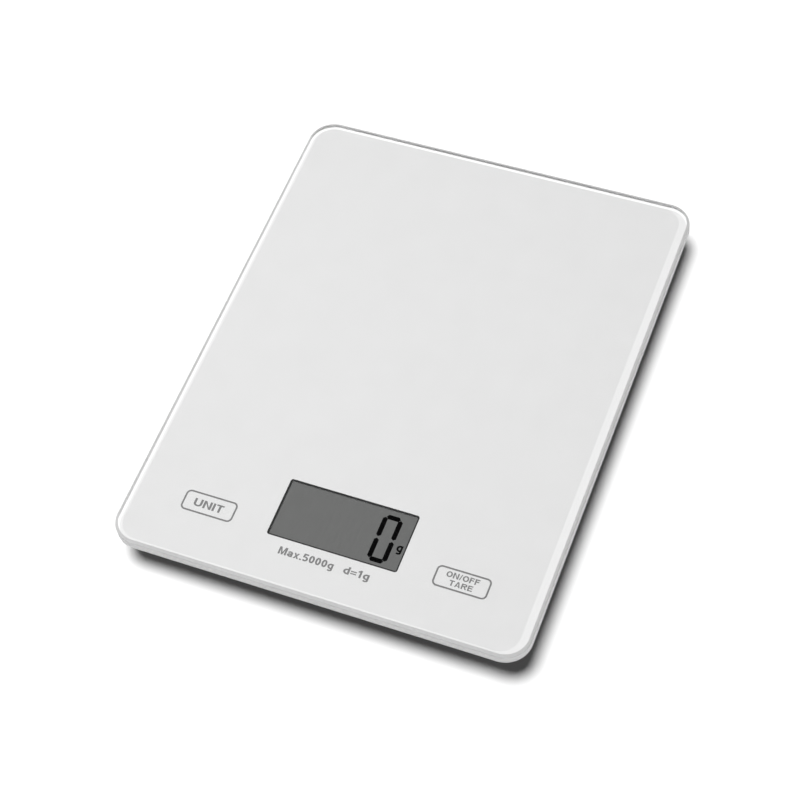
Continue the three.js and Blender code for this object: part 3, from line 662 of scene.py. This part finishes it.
def make_camera():
    """Looks at the aim point from its azimuth and elevation, turned about its own axis."""
    turn, rise = math.radians(CAMERA["azimuth"]), math.radians(CAMERA["elevation"])
    level = math.cos(rise)
    back = Vector((math.sin(turn) * level, -math.cos(turn) * level, math.sin(rise)))
    data = bpy.data.cameras.new("camera")
    data.lens = CAMERA["lens"]
    data.clip_start, data.clip_end = 0.01, 20
    camera = bpy.data.objects.new("camera", data)
    camera.rotation_mode = "QUATERNION"
    upright = (-back).to_track_quat("-Z", "Y").to_matrix().to_4x4()
    spin = Matrix.Rotation(math.radians(CAMERA["roll"]), 4, "Z")
    place = Vector(CAMERA["aim"]) * MM + back * CAMERA["distance"] * MM
    camera.matrix_world = Matrix.Translation(place) @ upright @ spin
    bpy.context.scene.collection.objects.link(camera)
    bpy.context.scene.camera = camera


FLOOR_HALF = 3000


def make_floor():
    """A large flat floor at the height of the feet, which lets the light from below through."""
    corners = [(x * FLOOR_HALF, y * FLOOR_HALF, 0) for x, y in ((-1, -1), (1, -1), (1, 1), (-1, 1))]
    floor = mesh_object("floor", corners, [(0, 1, 2, 3)], floor_white())
    floor.visible_shadow = floor.visible_glossy = False


def soft_light(name, place, size, power):
    """A round soft lamp that faces the scale and doesn't show in what is glossy or clear.

    Its light already passes the glass unbent, so glass that also showed it would count it twice.
    """
    data = bpy.data.lights.new(name, "AREA")
    data.shape = "DISK"
    data.size = size
    data.energy = power
    lamp = bpy.data.objects.new(name, data)
    facing = Vector(place).to_track_quat("Z", "Y").to_matrix().to_4x4()
    lamp.matrix_world = Matrix.Translation(place) @ facing
    lamp.visible_glossy = lamp.visible_transmission = False
    bpy.context.scene.collection.objects.link(lamp)


ROOM_LIGHT = 0.03
GLOSS_WALL = 0.8
GLOSS_BELOW = 0.6
HORIZON = (0.25, 0.6)


def make_room():
    """A white room that sheds little light of its own.

    What is looked at directly is white. What a gloss or a glass edge shows is GLOSS_WALL at eye
    level, GLOSS_BELOW times that straight below, and dark overhead, where the height of the
    direction passes HORIZON.
    """
    world = bpy.data.worlds.new("room")
    bpy.context.scene.world = world
    world.use_nodes = True
    room = Nodes(world.node_tree)
    camera = room.node("ShaderNodeLightPath", output="Is Camera Ray")
    diffuse = room.node("ShaderNodeLightPath", output="Is Diffuse Ray")
    where = room.node("ShaderNodeTexCoord", output="Generated")
    height = room.node("ShaderNodeSeparateXYZ", {}, [where], output=2)
    below = height.ramp(-1, 0) * (1 - GLOSS_BELOW) + GLOSS_BELOW
    shown = (1 - diffuse) * (1 - height.ramp(*HORIZON)) * below * GLOSS_WALL
    strength = camera.math("MAXIMUM", shown + ROOM_LIGHT)
    room.plug(room.tree.nodes["Background"].inputs["Color"], (1, 1, 1, 1))
    room.plug(room.tree.nodes["Background"].inputs["Strength"], strength)


LAMPS = {  # place and width in metres, and watts
    "key": ((-0.178, -0.012, 1.2), 0.66, 19),
    "under": ((0.3, -0.3, -0.9), 1.2, 13),
}


def make_light():
    """A soft lamp nearly overhead, a weaker one under the floor for the underside, and the room."""
    make_room()
    for name, lamp in LAMPS.items():
        soft_light(name, *lamp)
    bpy.context.scene.view_settings.view_transform = "Standard"


# ------------------------------------------------------------------ the glass and what is behind it
#
# A plan is a width, a length and a corner radius, and then a centre where it isn't (0, 0).


glass_low, glass_high = box_mm("glass_platform")
GLASS = (glass_high[0] - glass_low[0], glass_high[1] - glass_low[1], 9.0)
Z_UNDER, Z_TOP = glass_low[2], glass_high[2]
BEVEL_IN, BEVEL_DOWN, BEVEL_ROUND, LOWER_ARRIS = 1.0, 0.6, 0.2, 0.2
ARRIS_STEPS, BEVEL_STEPS = 6, 3
FACE, WALL, SHADED_GROUND = 0, 1, 2  # the glass's material slots

film_low, film_high = box_mm("printed_film")
FILM = (film_high[0] - film_low[0], film_high[1] - film_low[1], 7.9)
Z_FILM = film_high[2]
INK = 0.02
# The dark ring round the display window is a printed line LINE_THIN wide. On its left and far sides it
# is widened by painted shade, which stands for the shaded wall of the display's recess.
WINDOW_LINE_AND_SHADE = (45.9, 21.76, 0.9, (0.0, -63.27))
LINE_WITH_SHADE, LINE_THIN = 0.75, 0.45  # it is thick on its left and far sides
WINDOW = (
    WINDOW_LINE_AND_SHADE[0] - LINE_WITH_SHADE - LINE_THIN,
    WINDOW_LINE_AND_SHADE[1] - LINE_WITH_SHADE - LINE_THIN,
    0.4,
    (WINDOW_LINE_AND_SHADE[3][0] + (LINE_WITH_SHADE - LINE_THIN) / 2, WINDOW_LINE_AND_SHADE[3][1] - (LINE_WITH_SHADE - LINE_THIN) / 2),
)
# A lighter band printed round the film's edge, widest on its right and near sides. It is painted light,
# standing for light that enters through the glass edge.
PAINTED_LIGHT_OUTER = (142.7, 182.7, 7.8)
PAINTED_LIGHT_INNER = (139.1, 181.05, 6.8, (-1.15, 0.725))
KEYS = {"unit": (-45.15, -70.6), "tare": (44.07, -70.6)}
KEY_OUTLINE = (18.7, 7.7, 1.8)
KEY_LINE = 0.6
DIGIT = (11.45, -72.6, 6.9, 17.7, 1.65)  # left, low, width, height and stroke
UNIT = ((20.7, -65.2), 2.0, 3.3)  # centre, width and capital height
FILM_CORNER = 0.4


def glass_plate(clear, wall, arris):
    """The platform: a flat sheet with a ground edge.

    Its edge is an arc at the under face, an upright wall, and a bevel BEVEL_IN wide and
    BEVEL_DOWN deep, whose normal rises by the arctangent of BEVEL_IN / BEVEL_DOWN. The bevel
    meets the wall and the face in an arc each, whose tangents are BEVEL_ROUND times the tangent
    of half its angle long.
    """
    slope = math.degrees(math.atan2(BEVEL_IN, BEVEL_DOWN))
    foot_length = BEVEL_ROUND * math.tan(math.radians(slope / 2))
    head_length = BEVEL_ROUND * math.tan(math.radians(45 - slope / 2))
    z_bevel = Z_TOP - BEVEL_DOWN - foot_length
    arcs = [
        arc((LOWER_ARRIS, Z_UNDER + LOWER_ARRIS), LOWER_ARRIS, -90, 0, ARRIS_STEPS),
        arc((BEVEL_ROUND, z_bevel), BEVEL_ROUND, 0, slope, BEVEL_STEPS),
        arc((BEVEL_IN + head_length, Z_TOP - BEVEL_ROUND), BEVEL_ROUND, slope, 90, BEVEL_STEPS),
    ]
    profile = tuple(np.concatenate(parts) for parts in zip(*arcs))
    plate = swept_plate("glass_plate", GLASS, profile, clear)
    plate.data.materials.append(wall.material)
    plate.data.materials.append(arris.material)
    around = len(plate.data.vertices) // len(profile[0])
    # the bevels and the lower arris take the darker copy of the ground glass, whose grey is painted
    # shade
    edge = [SHADED_GROUND] * ARRIS_STEPS + [WALL] + [SHADED_GROUND] * (2 * BEVEL_STEPS + 1)
    slots = np.append(np.repeat(edge, around), [FACE, FACE])
    plate.data.polygons.foreach_set("material_index", slots)
    return plate


def printed_layer(face, backing):
    """The printed film, with its window and the grey coat on its back that stops light.

    Of the four strips of faces of a framed sheet, the last is its under side.
    """
    sheet = framed_sheet("printed_layer", FILM, WINDOW, film_low[2], Z_FILM, face)
    sheet.data.materials.append(backing.material)
    strip = len(sheet.data.polygons) // 4
    sheet.data.polygons.foreach_set("material_index", np.repeat([0, 0, 0, 1], strip))
    return sheet


def printed_line(name, outer, inner, finish):
    """A printed line between two rounded rectangles on the upper side of the film."""
    return framed_sheet(name, outer, inner, Z_FILM, Z_FILM + INK, finish)


def segment(start, end, stroke):
    """A six-sided bar between two points, pointed at both ends: its points are 0.36 strokes long."""
    start, end = np.array(start), np.array(end)
    along = (end - start) / np.linalg.norm(end - start)
    side = np.array([-along[1], along[0]]) * stroke / 2
    neck = along * stroke * 0.36
    return [start, start + neck - side, end - neck - side, end, end - neck + side, start + neck + side]


def digit_bars(x, y, width, height, stroke, shown):
    """The bars of one seven-segment digit whose lower left corner is at (x, y)."""
    left, right = x + stroke / 2, x + width - stroke / 2
    low, high = y + stroke / 2, y + height - stroke / 2
    middle, gap, corner = (low + high) / 2, 0.3, 0.2
    bars = {
        "a": ((left + corner, high), (right - corner, high)),
        "b": ((right, middle + gap), (right, high - corner)),
        "c": ((right, low + corner), (right, middle - gap)),
        "d": ((left + corner, low), (right - corner, low)),
        "e": ((left, low + corner), (left, middle - gap)),
        "f": ((left, middle + gap), (left, high - corner)),
        "g": ((left + corner, middle), (right - corner, middle)),
    }
    return [segment(*bars[name], stroke) for name in shown]


def make_face():
    """Everything seen through the glass: the film, its printing and the display."""
    grey = printed_grey("legend_grey", 0.18, 0.22)
    # the window line's ink, which also carries its painted shade
    dark = printed_grey("window_line_and_shade", 0.026, 0.038)
    wall = ground_glass("ground_wall", 0.35, 0.84)
    # the bevel and arris are the same ground glass as the wall, in a darker grey: painted shade that
    # keeps the bevel, which faces the lamp, from showing lighter than the wall
    arris = ground_glass("bevel_glass_painted_shade", 0.35, 0.50)
    settle(glass_plate(polished_glass(), wall, arris), "platform", "glass", "glass_platform")
    backing = printed_grey("print_backing", 0.30, 0.36)
    settle(printed_layer(printed_white(), backing), "platform", "print", "printed_film")
    # the window line, with painted shade along its left and far sides
    settle(printed_line("window_line_and_shade", WINDOW_LINE_AND_SHADE, WINDOW, dark), "platform", "print")
    # a band of painted light along the glass edge, widest on the right
    pale = printed_grey("painted_edge_light_ink", 0.75, 0.78)
    settle(printed_line("painted_edge_light_band", PAINTED_LIGHT_OUTER, PAINTED_LIGHT_INNER, pale), "platform", "print")
    for key, centre in KEYS.items():
        inner = [size - 2 * KEY_LINE for size in KEY_OUTLINE[:2]] + [KEY_OUTLINE[2] - KEY_LINE]
        outline = printed_line(f"{key}_outline", (*KEY_OUTLINE, centre), (*inner, centre), grey)
        settle(outline, "platform", "print")
    words = {  # the text, its centre, its width and its capital height
        "legend_unit": ("UNIT", (-45.3, -70.65), 10.55, 2.9),
        "legend_on_off": ("ON/OFF", (43.97, -69.15), 11.25, 2.1),
        "legend_tare": ("TARE", (44.2, -71.95), 7.95, 2.0),
        "legend_capacity": ("Max.5000g", (-6.95, -78.37), 19.27, 2.75),
        "legend_division": ("d=1g", (10.76, -78.37), 8.95, 2.75),
    }
    for name, (text, centre, width, cap) in words.items():
        settle(lettering(name, text, centre, width, cap, Z_FILM, INK, grey), "platform", "print")
    make_display()


def make_display():
    """The display behind the window: its film, the digit and the unit."""
    low, high = box_mm("display_polariser")
    centre = (low + high) / 2
    width, length, _ = high - low
    points, _ = rounded_rect(width, length, FILM_CORNER, centre[:2])
    film = prism("display_front", [points.tolist()], low[2], high[2], display_film())
    settle(film, "platform", "polariser", "display_polariser")
    ink = display_ink()
    zero = digit_bars(*DIGIT, "abcdef")
    settle(prism("display_digit", zero, high[2], high[2] + INK, ink), "platform", "polariser")
    unit = lettering("display_unit", "g", *UNIT, high[2], INK, ink)
    settle(unit, "platform", "polariser")


# ------------------------------------------------------------------ everything under the glass


SHARP = math.radians(38)  # an edge that turns further than this stays an edge
JOIN, FLAT = 0.0005 * MM, math.radians(0.5)

# These wires lie on the base, and their last few millimetres rise to the board. Their copies here are
# fixed in place, on no body.
# The line between the two points leans, so that the wires' other ends lie before its start.
TO_BOARD = ("gauge_cable", "battery_wire_negative", "battery_wire_positive")


def softened(node, finish, edge):
    """A copy of a node with its triangles joined into flat faces and its sharp edges rounded."""
    mesh = NODES[node].data.copy()
    shape = bmesh.new()
    shape.from_mesh(mesh)
    bmesh.ops.remove_doubles(shape, verts=shape.verts, dist=JOIN)
    bmesh.ops.dissolve_limit(shape, angle_limit=FLAT, verts=shape.verts, edges=shape.edges)
    shape.to_mesh(mesh)
    shape.free()
    mesh.materials.clear()
    mesh.materials.append(finish.material)
    mesh.shade_smooth()
    mesh.set_sharp_from_angle(angle=SHARP)
    piece = bpy.data.objects.new(f"{node}_fine", mesh)
    bpy.context.scene.collection.objects.link(piece)
    if edge:
        bevel = piece.modifiers.new("edge", "BEVEL")
        bevel.width = edge * MM
        bevel.segments = 2
        bevel.limit_method = "ANGLE"
        bevel.angle_limit = SHARP
        bevel.harden_normals = True
    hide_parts(node)
    if node in TO_BOARD:
        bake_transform(piece)
    else:
        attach(piece, BODY[node])


def turned(name, profile, centre, finish, around=64):
    """A profile of (radius, z) from axis to axis, turned about an upright axis."""
    profile = np.array(profile)
    angle = np.linspace(0.0, 2 * math.pi, around, endpoint=False)
    radius, height = profile[1:-1, 0], profile[1:-1, 1]
    x = centre[0] + radius[:, None] * np.cos(angle)
    y = centre[1] + radius[:, None] * np.sin(angle)
    z = np.repeat(height[:, None], around, axis=1)
    points = np.stack([x, y, z], axis=2).reshape(-1, 3)
    first, last = len(points), len(points) + 1
    poles = [(*centre, profile[0, 1]), (*centre, profile[-1, 1])]
    faces = wall_faces(len(radius), around).tolist()
    top = (len(radius) - 1) * around
    faces += [[first, (i + 1) % around, i] for i in range(around)]
    faces += [[last, top + i, top + (i + 1) % around] for i in range(around)]
    piece = mesh_object(name, np.vstack([points, poles]), faces, finish)
    piece.data.shade_smooth()
    piece.data.set_sharp_from_angle(angle=SHARP)
    return piece


def foot(node, finish):
    """A round foot: a sole, a soft shoulder a quarter turn round, and a small rounded lip above.

    The sole's grip rings rise and fall as dip times one minus a cosine of the radius.
    """
    low, high = box_mm(node)
    outer, top = (high[0] - low[0]) / 2, high[2]
    rings, dip, shoulder, lip = 4, 0.09, 0.9, 0.25
    flat = outer - shoulder
    radius = np.linspace(0.0, flat, 8 * rings + 1)
    sole = np.column_stack([radius, dip * (1 - np.cos(2 * math.pi * rings * radius / flat))])
    rise = np.array(bend(flat, shoulder, shoulder, shoulder, -90, 0, 8))[1:]
    rim = np.array(bend(outer - lip, top - lip, lip, lip, 0, 90, 4))
    profile = np.vstack([sole, rise, rim, [(0.0, top)]])
    centre = tuple((low[:2] + high[:2]) / 2)
    settle(turned(f"{node}_ribbed", profile, centre, finish), "base", SLOT[node], node)


def tube(name, path, radius, finish, around=12):
    """A round wire along a path, as rings of points square to it, with a flat end at each end."""
    path = np.array(path)
    along = np.gradient(path, axis=0)
    along /= np.linalg.norm(along, axis=1)[:, None]
    side = np.cross(along, (0.0, 0.0, 1.0))
    side /= np.linalg.norm(side, axis=1)[:, None]
    over = np.cross(side, along)
    angle = np.linspace(0.0, 2 * math.pi, around, endpoint=False)
    spoke = np.cos(angle)[None, :, None] * side[:, None] + np.sin(angle)[None, :, None] * over[:, None]
    points = (path[:, None] + radius * spoke).reshape(-1, 3)
    faces = wall_faces(len(path), around)[:, ::-1].tolist()
    last = (len(path) - 1) * around
    faces += [list(range(around)), [last + i for i in range(around)][::-1]]
    return mesh_object(name, points, faces, finish, spoke.reshape(-1, 3))


def touch_spring(node, finish):
    """A coil that widens from the board to the glass: radius and height grow with the turn."""
    low, high = box_mm(node)
    centre = (low + high) / 2
    wire, turns, taper = 0.28, 4.5, 1.2
    t = np.linspace(0.0, 1.0, 200)
    rise = t * t * (3 - 2 * t)
    radius = (high[0] - low[0]) / 2 - wire - taper * (1 - rise)
    angle = 2 * math.pi * turns * t
    x = centre[0] + radius * np.cos(angle)
    y = centre[1] + radius * np.sin(angle)
    z = low[2] + wire + (high[2] - low[2] - 2 * wire) * rise
    piece = tube(f"{node}_coil", np.column_stack([x, y, z]), wire, finish)
    settle(piece, "platform", SLOT[node], node)


EDGE = {  # how far a slot's edges are rounded; 0 joins the faces and leaves the edges
    "white_plastic": 0.2,
    "nickel": 0.06,
    "screw_steel": 0.08,
    "load_cell_aluminium": 0.15,
    "spacer_steel": 0.1,
    "cell_seal": 0.0,
    "black_insulation": 0.0,
    "red_insulation": 0.0,
    "grey_insulation": 0.0,
}


def inner_finishes():
    """The finish of each material slot under the glass."""
    return {
        "adhesive": sticky_sheet(),
        "white_plastic": moulded_white(),
        "display_glass": display_pane(),
        "polariser": plated("silvered_film", (0.62, 0.63, 0.62), 0.35, (1, 0.1, 1)),
        "silicone": striped_silicone(),
        "board": circuit_green(),
        "chip": chip_resin(),
        "capacitor": fired_ceramic(),
        "nickel": plated("bright_nickel", (0.70, 0.69, 0.66), 0.2, (1, 0.08, 1), 0.15),
        "screw_steel": plated("zinc_plate", (0.58, 0.59, 0.61), 0.28, size=0.2),
        "spacer_steel": plated("cut_steel", (0.50, 0.51, 0.52), 0.3, (1, 0.15, 1)),
        "load_cell_aluminium": milled_aluminium(),
        "gauge_film": gauge_film(),
        "foot_rubber": foot_rubber(),
        "cell_seal": insulation("cell_seal", (0.035, 0.035, 0.038)),
        "black_insulation": insulation("black_insulation", (0.030, 0.030, 0.032)),
        "red_insulation": insulation("red_insulation", (0.42, 0.030, 0.022)),
        "grey_insulation": insulation("grey_insulation", (0.36, 0.36, 0.35)),
    }


def make_inside():
    """Gives every other CAD node its finish, and stands finer pieces in for those that show."""
    finish_of = inner_finishes()
    for node, part in NODES.items():
        slot = SLOT[node]
        if node in ("glass_platform", "printed_film", "display_polariser"):
            continue
        if node.startswith("rubber_foot"):
            foot(node, finish_of[slot])
        elif node.startswith("touch_spring"):
            touch_spring(node, finish_of[slot])
        elif slot in EDGE:
            softened(node, finish_of[slot], EDGE[slot])
        else:
            part.data.materials.clear()
            part.data.materials.append(finish_of[slot].material)


# ------------------------------------------------------------------ making it all


make_camera()
make_floor()
make_light()
make_face()
make_inside()
for piece in bpy.context.scene.objects:  # light that one piece sheds on another is left out
    if piece.type == "MESH" and piece.name != "floor":
        piece.visible_diffuse = False
